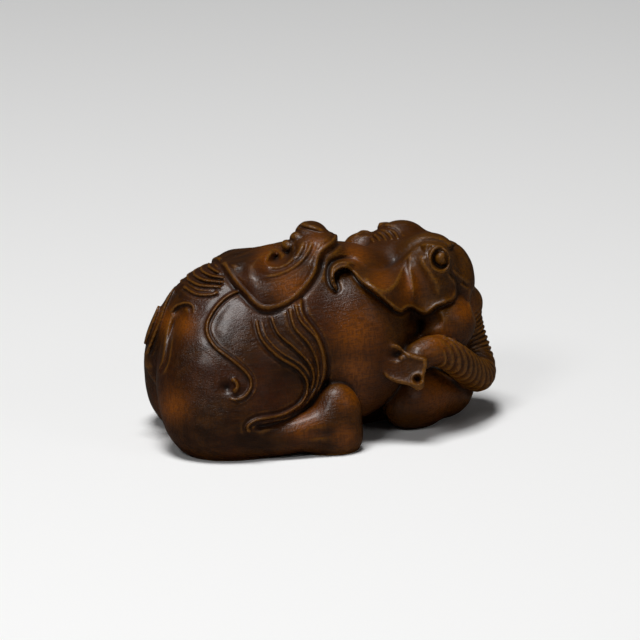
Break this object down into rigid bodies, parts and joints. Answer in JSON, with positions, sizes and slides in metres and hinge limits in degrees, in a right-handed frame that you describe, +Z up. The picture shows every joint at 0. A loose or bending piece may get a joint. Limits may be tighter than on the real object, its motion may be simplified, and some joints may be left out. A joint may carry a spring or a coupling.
{
  "type": "carved wooden elephant figurine",
  "caption": "Small lying elephant carved from dark stained boxwood, with a curled trunk, pleated ears, a saddle cloth and flowing folds on the flanks.",
  "frame": {"origin": "middle of the bounding box's underside, on the surface it rests on", "axes": "+X towards the head, +Y towards the far flank of the picture, +Z up"},
  "size_m": [0.0756, 0.0464, 0.0423],
  "materials": {
    "boxwood": "dark stained, wax polished, worn lighter on the ridges"
  },
  "bodies": {
    "root": {"elephant": "boxwood"}
  },
  "joints": []
}
